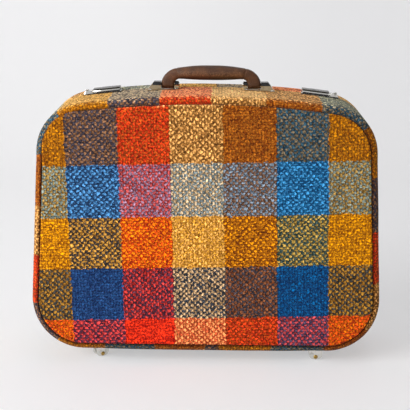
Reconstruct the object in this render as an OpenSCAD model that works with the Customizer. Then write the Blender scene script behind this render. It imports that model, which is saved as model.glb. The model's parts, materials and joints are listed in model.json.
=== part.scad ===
// Cloth-covered travel case: a base and a hinged lid, a carrying handle, two hasp latches
// and four small castors. Millimetres; X along the case, Y from front to back, Z up from the floor.

/* [Case body] */
// Width at the widest level, over the cloth
case_w = 480; // [440:1:560]
// Height of the body from its flat bottom to the crown of the top
case_h = 356; // [320:1:430]
// Depth of the base from the parting line to its face
base_d = 98; // [84:1:130]
// Depth of the lid from the parting line to its face
lid_d = 44; // [43:1:80]
// Inward lean of the two ends, degrees
end_lean = 3.1; // [0:0.1:4]
// Radius of the bottom corners
bottom_corner_r = 73; // [60:1:100]
// Radius of the top corners
top_corner_r = 68.5; // [52:0.5:80]
// Radius of the crowned top
crown_r = 1280; // [1000:10:2400]
// Rounding where the sides turn into the faces
edge_r = 9; // [7:0.1:9.5]

/* [Walls and cloth] */
// Thickness of the woven cover
cloth_t = 1.8; // [1.2:0.1:2.4]
// Thickness of the moulded board
shell_t = 4; // [3:0.1:5]
// Thickness of the lining
lining_t = 0.8; // [0.6:0.1:1.2]
// Distance of the face panel's hem from the silhouette
hem_inset = 10.6; // [10.5:0.1:22]
// How far the face panel stands proud of the side cover
panel_proud = 1.2; // [0.8:0.1:2]
// Thickness of the hoop inside the opening
hoop_t = 3.6; // [3:0.1:5]
// Reach of the hoop into the base
hoop_in = 30; // [24:1:40]
// Reach of the hoop's tongue into the lid
hoop_out = 7; // [5:0.5:9]
// Gap between base and lid at the parting line
parting_gap = 0.6; // [0.4:0.1:1]

/* [Handle] */
// Shift of the handle and latches to the right of the centre
hardware_shift = 4.4; // [0:0.1:10]
// Distance of the handle in front of the parting line
handle_z = 17; // [16:0.5:28]
// Width over the handle's two ends
handle_w = 137; // [130:1:160]
// Height of the grip's top over the crown
handle_rise = 31.7; // [31:0.1:40]
// Radius of the grip in the middle
grip_r = 10.1; // [9.5:0.1:11.5]
// Radius of the grip where it meets the ends
grip_end_r = 7.8; // [7.6:0.1:9]
// Width of each end piece, seen from the front
end_w = 18; // [17.6:0.1:20]
// Thickness of each end piece, front to back
end_d = 11; // [10:0.1:12]
// Length of each bracket
bracket_l = 42.5; // [42:0.5:48]
// Depth of the bracket's foot plate
bracket_d = 26; // [24:0.5:30]

/* [Latches] */
// Distance of each latch from the end of the case, less the hardware's shift
latch_inset = 89.5; // [70:0.5:95]
// Length of the lock plate
lock_l = 52; // [50:0.5:56]
// Depth of the lock plate
lock_d = 17; // [16:0.5:20]
// Length of the hasp
hasp_l = 38; // [36:0.5:40]
// Height of the hasp's top over the cloth
hasp_h = 6.3; // [6:0.1:7.5]
// Sheet thickness of the latch parts
latch_t = 1.2; // [1:0.1:1.4]
// Travel of the bolt
bolt_travel = 4.3; // [3.6:0.1:4.6]

/* [Hinges] */
// Distance of each hinge from the end of the case
hinge_inset = 148; // [130:1:180]
// Length of each hinge
hinge_l = 44; // [36:1:60]
// Depth of each leaf from the pin
leaf_d = 20; // [16:0.5:24]
// Radius of the hinge barrel
barrel_r = 2.6; // [2.4:0.1:3.2]

/* [Castors] */
// Height of the body over the floor
ground = 18; // [17.5:0.1:24]
// Distance of each castor from the end of the case
castor_inset = 89; // [75:1:100]
// Distance of the front castors from the face
castor_front = 26; // [24:0.5:34]
// Distance of the rear castors from the back
castor_rear = 22; // [20:0.5:26]
// Radius of the roller
wheel_r = 5; // [4.5:0.1:5.5]
// Length of the roller
wheel_l = 8; // [7:0.1:9]
// Offset of the axle from the swivel
trail = 4; // [3:0.1:5]
// Width of the fork's side plates
fork_w = 19; // [17:0.5:20]
// Sheet thickness of the castor parts
castor_t = 1.5; // [1.2:0.1:1.6]
// Swivel of the front left castor at rest, degrees
swivel_front_left = 34; // [0:1:90]

/* [Fits] */
// Radial clearance of pins in their bores
pin_gap = 0.05; // [0.03:0.01:0.1]
// Gap under hardware that lies on the cloth
seat_gap = 0.15; // [0.1:0.05:0.3]
// Gap beside moving pieces
side_gap = 0.4; // [0.3:0.05:0.5]

/* [Hidden] */
$fn = 96;
crown_fn = 1440;
arc_steps = 16;
eps = 0.01;
weld = 0.03;
weld_angle = 0.2;

// Path of the outline: corner centres and the angle where the crown meets the top corners
corner_b = [case_w / 2 - bottom_corner_r, bottom_corner_r];
crown_c = [0, case_h - crown_r];
lean_dir = [cos(end_lean), sin(end_lean)];
reach = bottom_corner_r - top_corner_r + corner_b.x * cos(end_lean)
  - (case_h - crown_r - bottom_corner_r) * sin(end_lean);
shoulder = asin(reach / (crown_r - top_corner_r)) - end_lean;
shoulder_dir = [sin(shoulder), cos(shoulder)];
corner_t = crown_c + (crown_r - top_corner_r) * shoulder_dir;
end_foot = corner_b + bottom_corner_r * lean_dir;
end_head = corner_t + top_corner_r * lean_dir;

// Places along the case that keep their distance from its ends
latch_x = case_w / 2 - latch_inset;
hinge_x = case_w / 2 - hinge_inset;
castor_x = case_w / 2 - castor_inset;

// Depths of the layers, and the place of the case in its frame
part_y = (base_d - lid_d) / 2;
half_gap = parting_gap / 2;
shell_n = -cloth_t;
shell_r = edge_r - cloth_t;
inner_n = -cloth_t - shell_t;
lining_r = shell_r - shell_t;
hoop_fit = 0.7;
panel_r = 1.2;
tray_lip = 8;

// Rivets
rivet_r = 1.5;
rivet_head_r = 2.8;
rivet_head_h = 1;
rivet_gap = 0.05;
rivet_grip = cloth_t + shell_t;

// Handle heights over the crown and places along the case
foot_gap = 0.4;
pivot_h = foot_gap + end_d / 2;
pin_r = 1.6;
pin_head_r = 2.6;
pin_head_h = 1;
lug_r = 4;
grip_h = handle_rise - grip_r;
bend_r = end_w / 2 + 4.7;
bend_h = grip_h - bend_r;
grip_half = handle_w / 2 - end_w / 2 - bend_r;
leg_x = handle_w / 2 - end_w / 2;
cheek_in = handle_w / 2 + side_gap;
lug_out = handle_w / 2 - end_w - side_gap;
bracket_in = lug_out - 5.4;
bracket_out = bracket_in + bracket_l;
cheek_h = pivot_h + pin_r + 1.9;
cheek_slope = 8.5;
cheek_d = 14;
bracket_t = 1.2;
bracket_low = 10;
pin_seat = 7.5;
window_d = end_d + 2 * side_gap;
bracket_rivet_x = [bracket_in + 4, bracket_out - 4];
bracket_rivet_z = bracket_d / 2 - 3.4;

// Latch frame: x outward along the crown, y up from the cloth, z to the front
lock_back = 1.2;
plate_top = seat_gap + latch_t;
hasp_in = 1.5 - lock_l / 2;
hasp_out = hasp_in + hasp_l;
cheek_x = hasp_out - latch_t;
hasp_front = lock_back + lock_d - 2.5;
hasp_roll = 3.2;
hasp_low = plate_top + side_gap;
knuckle_r = 2.4;
knuckle_z = -6;
knuckle_y = hasp_h - knuckle_r;
hasp_pin_r = 1.1;
knuckle_in = hasp_in + hasp_l * 0.28;
knuckle_out = hasp_out - hasp_l * 0.28;
lift_d = 1.7;
lift_t = 0.95;
case_in = hasp_out + 2 * side_gap;
case_top = hasp_h - 1.1;
case_z = [3, lock_back + lock_d - 2];
case_slope = 3;
bolt_z = 9.5;
bolt_w = 5;
bolt_y = [hasp_low + 1.15, hasp_low + 2.55];
bolt_in = case_in + side_gap;
bolt_l = 7.6;
bolt_gap = 0.2;
stem_l = 2;
stem_w = 3;
knob_l = 4;
knob_w = 7;
knob_h = 1.3;
lock_rivet_x = [hasp_in + 7, hasp_out - 10];
lock_rivet_z = lock_back + lock_d / 2;
hasp_plate_d = 19;
hasp_rivet_z = -lock_back - hasp_plate_d + 5;

// Hinge places
leaf_t = 1.2;
hinge_pin_r = 1.2;
hinge_axis_z = ground - barrel_r;
knuckle_half = hinge_l / 6;
leaf_rivet_x = hinge_l / 2 - 7;
leaf_rivet_y = leaf_d - 7;

// Castor heights and places
CORNERS = ["front_left", "front_right", "rear_left", "rear_right"];
SIDES = ["left", "right"];
castor_y = [part_y - base_d + castor_front, part_y + lid_d - castor_rear];
swivels = [swivel_front_left, 0, 160, 25];
castor_at = [for (i = [0:3]) [(i % 2 == 0 ? -1 : 1) * castor_x, castor_y[i < 2 ? 0 : 1]]];
plate_l = 30;
plate_w = 22;
castor_rivet = [plate_l / 2 - 4, plate_w / 2 - 3.6];
race_r = 7.5;
race_h = 1.5;
web_top = ground - castor_t - race_h - 0.3;
web_low = web_top - castor_t;
fork_low = 1.4;
fork_r = 7;
fork_half = wheel_l / 2 + side_gap;
kingpin_r = 2.4;
kingpin_head_r = 4;
kingpin_head_h = 1.2;
axle_r = 1.5;
axle_head_r = 3.1;
axle_head_h = 1;

cloth_colour = [0.62, 0.40, 0.20];
board_colour = [0.45, 0.33, 0.22];
lining_colour = [0.80, 0.72, 0.58];
wood_colour = [0.62, 0.45, 0.28];
leather_colour = [0.33, 0.16, 0.09];
steel_colour = [0.78, 0.79, 0.80];
dark_colour = [0.10, 0.10, 0.11];
brass_colour = [0.70, 0.55, 0.28];

// The case is drawn with Y up and Z to the front, and then stood on the floor
module stand() {
  translate([0, part_y, ground]) rotate([90, 0, 0]) children();
}

// Two sections carried round the outline: the first along the runs, the second round the corners.
// Their x is the distance outside the outline, their y the depth. The second is drawn in by the
// weld and reaches a little into the runs, so that the stretches join into one solid.
module around() {
  translate([corner_b.x, 0, 0]) rotate([0, 0, -90]) rotate([90, 0, 0])
    linear_extrude(2 * corner_b.x) children(0);
  translate([crown_c.x, crown_c.y, 0])
    rotate_extrude(angle = 2 * shoulder, start = 90 - shoulder, $fn = crown_fn)
      translate([crown_r, 0]) children(0);
  for (side = [0, 1]) mirror([side, 0, 0]) {
    translate([end_head.x, end_head.y, 0]) rotate([0, 0, end_lean]) rotate([90, 0, 0])
      linear_extrude(norm(end_head - end_foot)) children(0);
    translate([corner_b.x, corner_b.y, 0])
      rotate_extrude(angle = 90 + end_lean + 2 * weld_angle, start = -90 - weld_angle)
        translate([bottom_corner_r, 0]) children(1);
    translate([corner_t.x, corner_t.y, 0])
      rotate_extrude(angle = 90 - shoulder - end_lean + 2 * weld_angle, start = end_lean - weld_angle)
        translate([top_corner_r, 0]) children(1);
  }
}

function arc(c, r, from, to) =
  [for (i = [0:arc_steps]) let (a = from + (to - from) * i / arc_steps) c + r * [cos(a), sin(a)]];

function inner(points) = [for (i = [1:len(points) - 2]) points[i]];

// Right half of the outline moved out by n, from the bottom to the shoulder
function outline_right(n) = concat(
  arc(corner_b, bottom_corner_r + n, -90, end_lean),
  arc(corner_t, top_corner_r + n, end_lean, 90 - shoulder));

function to_left(points) = [for (i = [len(points) - 1:-1:0]) [-points[i].x, points[i].y]];

// Plain outline for the flat boards, whose own edge is buried in the rounded edge round them
module outline(n) {
  polygon(concat(outline_right(n),
                 inner(arc(crown_c, crown_r + n, 90 - shoulder, 90 + shoulder)),
                 to_left(outline_right(n))));
}

// Section of a side wall with a rounded edge and a lip on the face, drawn in by w
module wall_section(n, open_z, face_z, t, r, lip, w) {
  translate([n - t + w, open_z + w]) square([t - 2 * w, face_z - r - open_z - w]);
  translate([n - r, face_z - r]) intersection() {
    difference() {
      circle(r - w);
      circle(r - t + w);
    }
    square(r);
  }
  translate([n - r - lip + w, face_z - t + w]) square([lip - w, t - 2 * w]);
}

module wall(n, open_z, face_z, t, r, lip) {
  around() {
    wall_section(n, open_z, face_z, t, r, lip, 0);
    wall_section(n, open_z, face_z, t, r, lip, weld);
  }
}

// Closed tray with rounded edges
module tray(n, open_z, face_z, t, r) {
  wall(n, open_z, face_z, t, r, tray_lip);
  translate([0, 0, face_z - t + 2 * weld]) linear_extrude(t - 4 * weld)
    outline(n - r - tray_lip / 2);
}

module side_cover(depth) {
  wall(0, half_gap, depth, cloth_t, edge_r, hem_inset - edge_r);
}

// Face panel with a rounded hem
module hem_section(n, low, high, w) {
  translate([n - panel_r - tray_lip, low + w])
    square([panel_r + tray_lip - w, high - low - panel_r - w]);
  translate([n - panel_r - tray_lip, low + w]) square([tray_lip, high - low - 2 * w]);
  translate([n - panel_r, high - panel_r]) intersection() {
    circle(panel_r - w);
    square(panel_r);
  }
}

module face_cover(depth) {
  low = depth - cloth_t;
  high = depth + panel_proud;
  n = -hem_inset - side_gap;
  translate([0, 0, low]) linear_extrude(high - low) outline(n - panel_r - tray_lip / 2);
  around() {
    hem_section(n, low, high, weld);
    hem_section(n, low, high, 2 * weld);
  }
}

// Height of the crown at x, measured from its top
function crown_drop(x) = sqrt(crown_r * crown_r - x * x) - crown_r;

// Distance from the middle of the case for a place x from the middle of the handle
function off_centre(side, x) = x + (side == 0 ? -1 : 1) * hardware_shift;

// Frames of the hardware on the crown
module hardware(side) {
  translate([hardware_shift, case_h, handle_z]) mirror([side == 0 ? 1 : 0, 0, 0]) children();
}

module latch(side) {
  x = off_centre(side, latch_x);
  mirror([side == 0 ? 1 : 0, 0, 0]) translate([x, case_h + crown_drop(x), 0])
    rotate([0, 0, -asin(x / crown_r)]) children();
}

// Upright rivet or hole, from below upward
module rivet_shank(r, low, high) {
  translate([0, 0, low]) cylinder(r = r, h = high - low);
}

// Low dome of radius r and height h
module dome(r, h) {
  big = (r * r + h * h) / (2 * h);
  intersection() {
    translate([0, 0, h - big]) sphere(big);
    cylinder(r = 2 * r, h = h);
  }
}

module handle_rivet_places() {
  for (side = [0, 1], x = bracket_rivet_x, z = [-bracket_rivet_z, bracket_rivet_z])
    hardware(side) translate([x, crown_drop(off_centre(side, x)), z])
      rotate([-90, 0, 0]) children();
}

module lock_rivet_places() {
  for (side = [0, 1], x = lock_rivet_x)
    latch(side) translate([x, 0, lock_rivet_z]) rotate([-90, 0, 0]) children();
}

module hasp_rivet_places() {
  for (side = [0, 1], x = lock_rivet_x)
    latch(side) translate([x, 0, hasp_rivet_z]) rotate([-90, 0, 0]) children();
}

module castor_rivet_places(row) {
  for (i = [2 * row, 2 * row + 1], sx = [-1, 1], sy = [-1, 1])
    translate([castor_at[i].x + sx * castor_rivet.x, castor_at[i].y + sy * castor_rivet.y, ground])
      children();
}

module leaf_rivet_places(row) {
  for (sx = [-1, 1], rx = [-1, 1])
    translate([sx * hinge_x + rx * leaf_rivet_x,
               part_y + (row == 0 ? -1 : 1) * leaf_rivet_y, ground])
      children();
}

// Rivet holes through cover and shell
module hole() {
  rivet_shank(rivet_r + rivet_gap, -3 * rivet_grip, 2 * rivet_grip);
}

module base_holes() {
  stand() {
    handle_rivet_places() hole();
    lock_rivet_places() hole();
  }
  castor_rivet_places(0) hole();
  leaf_rivet_places(0) hole();
}

module lid_holes() {
  stand() hasp_rivet_places() hole();
  castor_rivet_places(1) hole();
  leaf_rivet_places(1) hole();
}

// Base
module base_shell() color(board_colour) difference() {
  stand() tray(shell_n, half_gap, base_d - cloth_t, shell_t, shell_r);
  base_holes();
}

module base_side_cover() color(cloth_colour) difference() {
  stand() side_cover(base_d);
  base_holes();
}

module base_face_cover() color(cloth_colour) stand() face_cover(base_d);

module base_lining() color(lining_colour) stand()
  tray(inner_n, hoop_in, base_d - cloth_t - shell_t, lining_t, lining_r);

module hoop_section(w) {
  translate([inner_n - hoop_t + w, half_gap]) square([hoop_t - 2 * w, hoop_in - half_gap - w]);
  translate([inner_n - hoop_t + w, w - hoop_out])
    square([hoop_t - hoop_fit - 2 * w, hoop_out + 2 * half_gap]);
}

module closing_hoop() color(wood_colour) stand() around() {
  hoop_section(0);
  hoop_section(weld);
}

// Lid
module flip() {
  mirror([0, 0, 1]) children();
}

module lid_shell() color(board_colour) difference() {
  stand() flip() tray(shell_n, half_gap, lid_d - cloth_t, shell_t, shell_r);
  lid_holes();
}

module lid_side_cover() color(cloth_colour) difference() {
  stand() flip() side_cover(lid_d);
  lid_holes();
}

module lid_face_cover() color(cloth_colour) stand() flip() face_cover(lid_d);

module lid_lining() color(lining_colour) stand() flip()
  tray(inner_n, hoop_out + 1, lid_d - cloth_t - shell_t, lining_t, lining_r);

// Handle
module grip_section() {
  sag = grip_r - grip_end_r;
  big = (grip_half * grip_half + sag * sag) / (2 * sag);
  intersection() {
    translate([grip_r - big, 0]) circle(big, $fn = crown_fn);
    translate([0, -grip_half]) square([grip_r, 2 * grip_half]);
  }
}

module handle_grip() color(leather_colour) stand()
  translate([hardware_shift, case_h + grip_h, handle_z]) rotate([0, 90, 0])
    rotate_extrude() grip_section();

module end_section() {
  intersection() {
    circle(end_w / 2);
    square([end_w, end_d], center = true);
  }
}

module handle_end(side) color(leather_colour) stand() hardware(side) difference() {
  union() {
    translate([grip_half, bend_h, 0]) rotate_extrude(angle = 90)
      translate([bend_r, 0]) end_section();
    intersection() {
      translate([leg_x, bend_h, 0]) rotate([90, 0, 0])
        linear_extrude(bend_h - pivot_h + end_d / 2) end_section();
      union() {
        translate([leg_x - end_w, pivot_h, 0]) rotate([0, 90, 0])
          cylinder(r = end_d / 2, h = 2 * end_w);
        translate([leg_x - end_w, pivot_h, -end_d])
          cube([2 * end_w, bend_h, 2 * end_d]);
      }
    }
  }
  translate([leg_x - end_w, pivot_h, 0]) rotate([0, 90, 0])
    cylinder(r = pin_r + pin_gap, h = 2 * end_w);
}

// Bracket: curved foot plate, inner lug and sloping outer cheek
module crown_block(side, n, depth) {
  translate([-off_centre(side, 0), -crown_r, -depth / 2])
    cylinder(r = crown_r + n, h = depth, $fn = crown_fn);
}

module bracket_plate(side) {
  difference() {
    intersection() {
      translate([bracket_in, -bracket_low, -bracket_d / 2])
        cube([bracket_l, 2 * bracket_low, bracket_d]);
      crown_block(side, seat_gap + bracket_t, 2 * bracket_d);
    }
    crown_block(side, seat_gap, 3 * bracket_d);
  }
}

module bracket_blocks(side) {
  tip = crown_drop(off_centre(side, bracket_out)) + seat_gap + bracket_t;
  translate([0, 0, -cheek_d / 2]) linear_extrude(cheek_d)
    polygon([[cheek_in, -bracket_low], [bracket_out, -bracket_low], [bracket_out, tip],
             [bracket_out - cheek_slope, cheek_h], [cheek_in, cheek_h]]);
  translate([bracket_in, pivot_h, 0]) rotate([0, 90, 0])
    cylinder(r = lug_r, h = lug_out - bracket_in);
  translate([bracket_in, -bracket_low, -lug_r])
    cube([lug_out - bracket_in, pivot_h + bracket_low, 2 * lug_r]);
}

module handle_bracket(side) color(dark_colour) stand() hardware(side) difference() {
  union() {
    bracket_plate(side);
    difference() {
      bracket_blocks(side);
      crown_block(side, seat_gap + bracket_t / 2, 2 * bracket_d);
    }
  }
  translate([lug_out, -bracket_low, -window_d / 2])
    cube([cheek_in - lug_out, 2 * bracket_low, window_d]);
  translate([bracket_in - 1, pivot_h, 0]) rotate([0, 90, 0])
    cylinder(r = pin_r + pin_gap, h = cheek_in + pin_seat + side_gap - bracket_in + 1);
  for (x = bracket_rivet_x, z = [-bracket_rivet_z, bracket_rivet_z])
    translate([x, 0, z]) rotate([-90, 0, 0]) hole();
}

module handle_pin(side) color(steel_colour) stand() hardware(side)
  translate([bracket_in, pivot_h, 0]) rotate([0, 90, 0]) {
    cylinder(r = pin_r, h = cheek_in + pin_seat - bracket_in);
    translate([0, 0, -pin_head_h]) cylinder(r = pin_head_r, h = pin_head_h);
  }

module handle_rivets() color(steel_colour) stand() handle_rivet_places() {
  rivet_shank(rivet_r, -rivet_grip + 0.2, seat_gap + bracket_t + 0.2);
  translate([0, 0, seat_gap + bracket_t + 0.2]) dome(rivet_head_r, rivet_head_h);
}

// Latch on the base
module lock_plate(side) color(steel_colour) stand() latch(side) difference() {
  union() {
    translate([-lock_l / 2, seat_gap, lock_back]) cube([lock_l, latch_t, lock_d]);
    translate([0, 0, case_z[0]]) linear_extrude(case_z[1] - case_z[0])
      polygon([[case_in, seat_gap], [lock_l / 2, seat_gap], [lock_l / 2, plate_top],
               [lock_l / 2 - case_slope, case_top], [case_in, case_top]]);
  }
  translate([case_in - 1, bolt_y[0] - bolt_gap, bolt_z - bolt_w / 2 - bolt_gap])
    cube([bolt_in + bolt_l + bolt_gap - case_in + 1, bolt_y[1] - bolt_y[0] + 2 * bolt_gap,
          bolt_w + 2 * bolt_gap]);
  translate([bolt_in + bolt_l - stem_l - bolt_travel - bolt_gap, bolt_y[0], bolt_z - stem_w / 2 - bolt_gap])
    cube([stem_l + bolt_travel + 2 * bolt_gap, case_top, stem_w + 2 * bolt_gap]);
  for (x = lock_rivet_x) translate([x, 0, lock_rivet_z]) rotate([-90, 0, 0]) hole();
}

module latch_slide(side) color(steel_colour) stand() latch(side) {
  stem_x = bolt_in + bolt_l - stem_l;
  translate([bolt_in, bolt_y[0], bolt_z - bolt_w / 2])
    cube([bolt_l, bolt_y[1] - bolt_y[0], bolt_w]);
  translate([stem_x, bolt_y[0], bolt_z - stem_w / 2])
    cube([stem_l, case_top + side_gap - bolt_y[0] + eps, stem_w]);
  translate([stem_x + stem_l / 2 - knob_l / 2, case_top + side_gap, bolt_z - knob_w / 2])
    cube([knob_l, knob_h, knob_w]);
}

module lock_rivets() color(steel_colour) stand() lock_rivet_places()
  rivet_shank(rivet_r, -rivet_grip + 0.4, plate_top);

// Latch on the lid
module hasp_side_section() {
  translate([2 * side_gap - 2.5, hasp_low])
    square([hasp_front - hasp_roll + 2.5 - 2 * side_gap, hasp_h - hasp_low - latch_t / 2]);
  translate([hasp_front - hasp_roll, hasp_low])
    square([hasp_roll - latch_t / 2, hasp_h - hasp_roll - hasp_low]);
  intersection() {
    translate([hasp_front - hasp_roll, hasp_h - hasp_roll]) circle(hasp_roll - latch_t / 2);
    translate([hasp_front - hasp_roll, hasp_h - hasp_roll]) square(hasp_roll);
  }
}

module hasp_section(back) {
  translate([back, hasp_h - latch_t]) square([hasp_front - hasp_roll - back, latch_t]);
  translate([hasp_front - hasp_roll, hasp_h - hasp_roll]) intersection() {
    difference() {
      circle(hasp_roll);
      circle(hasp_roll - latch_t);
    }
    square(hasp_roll);
  }
  translate([hasp_front - latch_t, hasp_low])
    square([latch_t, hasp_h - hasp_roll - hasp_low]);
  translate([hasp_front - latch_t, hasp_low]) square([latch_t + lift_d, lift_t]);
}

// Carries a section drawn in depth and height along the latch
module along(x0, x1) {
  translate([x1, 0, 0]) rotate([0, -90, 0]) linear_extrude(x1 - x0) children();
}

module hasp(side) color(steel_colour) stand() latch(side) difference() {
  union() {
    along(hasp_in, cheek_x) hasp_section(knuckle_z + knuckle_r + side_gap);
    along(knuckle_in + side_gap, knuckle_out - side_gap) {
      hasp_section(knuckle_z);
      translate([knuckle_z, knuckle_y]) circle(knuckle_r);
    }
    along(hasp_in, hasp_in + latch_t) hasp_side_section();
  }
  translate([hasp_in - 1, knuckle_y, knuckle_z]) rotate([0, 90, 0])
    cylinder(r = hasp_pin_r + pin_gap, h = hasp_l + 2);
}

// Cheek soldered to the outer end of the hasp, with the eye for the bolt
module cheek_section() {
  back = 2 * side_gap - 2.5;
  translate([back, hasp_low]) square([hasp_front - hasp_roll - back, hasp_h - hasp_low]);
  translate([hasp_front - hasp_roll, hasp_low]) square([hasp_roll, hasp_h - hasp_roll - hasp_low]);
  translate([hasp_front - hasp_roll, hasp_h - hasp_roll]) intersection() {
    circle(hasp_roll);
    square(hasp_roll);
  }
}

module hasp_cheek(side) color(steel_colour) stand() latch(side) difference() {
  along(cheek_x, hasp_out) cheek_section();
  translate([hasp_out - 2 * latch_t, bolt_y[0] - bolt_gap, bolt_z - bolt_w / 2 - bolt_gap])
    cube([3 * latch_t, bolt_y[1] - bolt_y[0] + 2 * bolt_gap, bolt_w + 2 * bolt_gap]);
}

module hasp_plate(side) color(steel_colour) stand() latch(side) difference() {
  union() {
    translate([hasp_in, seat_gap, -lock_back - hasp_plate_d])
      cube([hasp_l, latch_t, hasp_plate_d]);
    for (span = [[hasp_in, knuckle_in], [knuckle_out, hasp_out]]) along(span[0], span[1]) {
      translate([knuckle_z, knuckle_y]) circle(knuckle_r);
      translate([knuckle_z - knuckle_r, seat_gap])
        square([knuckle_r, knuckle_y - seat_gap]);
    }
  }
  translate([hasp_in - 1, knuckle_y, knuckle_z]) rotate([0, 90, 0])
    cylinder(r = hasp_pin_r + pin_gap, h = hasp_l + 2);
  for (x = lock_rivet_x) translate([x, 0, hasp_rivet_z]) rotate([-90, 0, 0]) hole();
}

module hasp_pin(side) color(steel_colour) stand() latch(side)
  translate([hasp_in, knuckle_y, knuckle_z]) rotate([0, 90, 0]) cylinder(r = hasp_pin_r, h = hasp_l);

module hasp_plate_rivets() color(steel_colour) stand() hasp_rivet_places() {
  rivet_shank(rivet_r, -rivet_grip + 0.4, plate_top);
  translate([0, 0, plate_top]) dome(rivet_head_r, rivet_head_h);
}

// Hinges
module hinge_place(side) {
  translate([(side == 0 ? -1 : 1) * hinge_x, part_y, 0]) children();
}

module leaf(row) {
  sign = row == 0 ? -1 : 1;
  clear = barrel_r + side_gap;
  spans = row == 0 ? [[-hinge_l / 2, -knuckle_half], [knuckle_half, hinge_l / 2]]
    : [[-knuckle_half + side_gap, knuckle_half - side_gap]];
  difference() {
    union() {
      translate([-hinge_l / 2, sign > 0 ? clear : -leaf_d, ground - leaf_t])
        cube([hinge_l, leaf_d - clear, leaf_t]);
      for (s = spans) {
        translate([s[0], sign > 0 ? 0 : -clear - eps, ground - leaf_t])
          cube([s[1] - s[0], clear + eps, leaf_t]);
        translate([s[0], 0, hinge_axis_z]) rotate([0, 90, 0]) cylinder(r = barrel_r, h = s[1] - s[0]);
      }
    }
    translate([-hinge_l, 0, hinge_axis_z]) rotate([0, 90, 0])
      cylinder(r = hinge_pin_r + pin_gap, h = 2 * hinge_l);
    for (rx = [-1, 1]) translate([rx * leaf_rivet_x, sign * leaf_rivet_y, ground]) hole();
  }
}

module hinge_base_leaf(side) color(steel_colour) hinge_place(side) leaf(0);

module hinge_lid_leaf(side) color(steel_colour) hinge_place(side) leaf(1);

module hinge_pin(side) color(steel_colour) hinge_place(side)
  translate([-hinge_l / 2, 0, hinge_axis_z]) rotate([0, 90, 0]) cylinder(r = hinge_pin_r, h = hinge_l);

// Rivets of the castor plates and hinge leaves
module bottom_rivet(t) {
  rivet_shank(rivet_r, -t, rivet_grip);
  translate([0, 0, -t]) rotate([180, 0, 0]) dome(rivet_head_r, rivet_head_h);
}

module bottom_rivets(row) color(steel_colour) {
  castor_rivet_places(row) bottom_rivet(castor_t);
  leaf_rivet_places(row) bottom_rivet(leaf_t);
}

// Castors, drawn with the axle along Y and the trail along X
module castor(i) {
  translate([castor_at[i].x, castor_at[i].y, 0]) children();
}

module swivel(i) {
  castor(i) rotate([0, 0, swivels[i]]) children();
}

module castor_plate(i) color(steel_colour) castor(i) difference() {
  union() {
    translate([-plate_l / 2, -plate_w / 2, ground - castor_t]) cube([plate_l, plate_w, castor_t]);
    translate([0, 0, ground - castor_t - race_h]) cylinder(r = race_r, h = race_h + castor_t / 2);
  }
  cylinder(r = kingpin_r + pin_gap, h = ground + 1);
  for (sx = [-1, 1], sy = [-1, 1])
    translate([sx * castor_rivet.x, sy * castor_rivet.y, ground]) hole();
}

module castor_kingpin(i) color(steel_colour) castor(i) {
  translate([0, 0, web_low - side_gap - kingpin_head_h])
    cylinder(r = kingpin_head_r, h = kingpin_head_h);
  translate([0, 0, web_low - side_gap - eps])
    cylinder(r = kingpin_r, h = ground - web_low + side_gap + eps);
}

module fork_side() intersection() {
  union() {
    translate([trail - fork_w / 2, fork_low + fork_r]) square([fork_w, fork_w]);
    translate([trail - fork_w / 2 + fork_r, fork_low]) square([fork_w - 2 * fork_r, 2 * fork_r]);
    for (s = [-1, 1]) translate([trail + s * (fork_w / 2 - fork_r), fork_low + fork_r]) circle(fork_r);
  }
  translate([trail - fork_w, 0]) square([2 * fork_w, web_top]);
}

module castor_fork(i) color(steel_colour) swivel(i) difference() {
  union() {
    for (y = [-fork_half - castor_t, fork_half])
      translate([0, y + castor_t, 0]) rotate([90, 0, 0]) linear_extrude(castor_t) fork_side();
    translate([trail - fork_w / 2, -fork_half - castor_t, web_low])
      cube([fork_w, 2 * fork_half + 2 * castor_t, castor_t]);
  }
  cylinder(r = kingpin_r + pin_gap, h = ground);
  translate([trail, 0, wheel_r]) rotate([90, 0, 0])
    cylinder(r = axle_r + pin_gap, h = 4 * fork_half, center = true);
}

module castor_wheel(i) color(steel_colour) swivel(i)
  translate([trail, 0, wheel_r]) rotate([90, 0, 0]) difference() {
    rotate_extrude() {
      round_r = 1;
      translate([0, -wheel_l / 2]) square([wheel_r - round_r, wheel_l]);
      translate([0, round_r - wheel_l / 2]) square([wheel_r, wheel_l - 2 * round_r]);
      for (s = [-1, 1]) intersection() {
        translate([wheel_r - round_r, s * (wheel_l / 2 - round_r)]) circle(round_r);
        translate([0, -wheel_l]) square([2 * wheel_r, 2 * wheel_l]);
      }
    }
    cylinder(r = axle_r + pin_gap, h = 2 * wheel_l, center = true);
  }

module castor_axle(i) color(brass_colour) swivel(i)
  translate([trail, 0, wheel_r]) for (s = [0, 1]) rotate([90, 0, 180 * s]) {
    cylinder(r = axle_r, h = fork_half + castor_t);
    translate([0, 0, fork_half + castor_t]) dome(axle_head_r, axle_head_h);
  }

base_shell();
base_side_cover();
base_face_cover();
base_lining();
closing_hoop();
lid_shell();
lid_side_cover();
lid_face_cover();
lid_lining();
handle_grip();
handle_rivets();
lock_rivets();
hasp_plate_rivets();
bottom_rivets(0);  // base_bottom_rivets
bottom_rivets(1);  // lid_bottom_rivets
for (i = [0, 1]) {
  handle_end(i);
  handle_bracket(i);
  handle_pin(i);
  lock_plate(i);
  latch_slide(i);
  hasp(i);
  hasp_cheek(i);
  hasp_plate(i);
  hasp_pin(i);
  hinge_base_leaf(i);
  hinge_lid_leaf(i);
  hinge_pin(i);
}
for (i = [0:3]) {
  castor_plate(i);
  castor_kingpin(i);
  castor_fork(i);
  castor_wheel(i);
  castor_axle(i);
}
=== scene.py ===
import bpy
import json
import math
from mathutils import Matrix, Vector, noise

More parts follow.
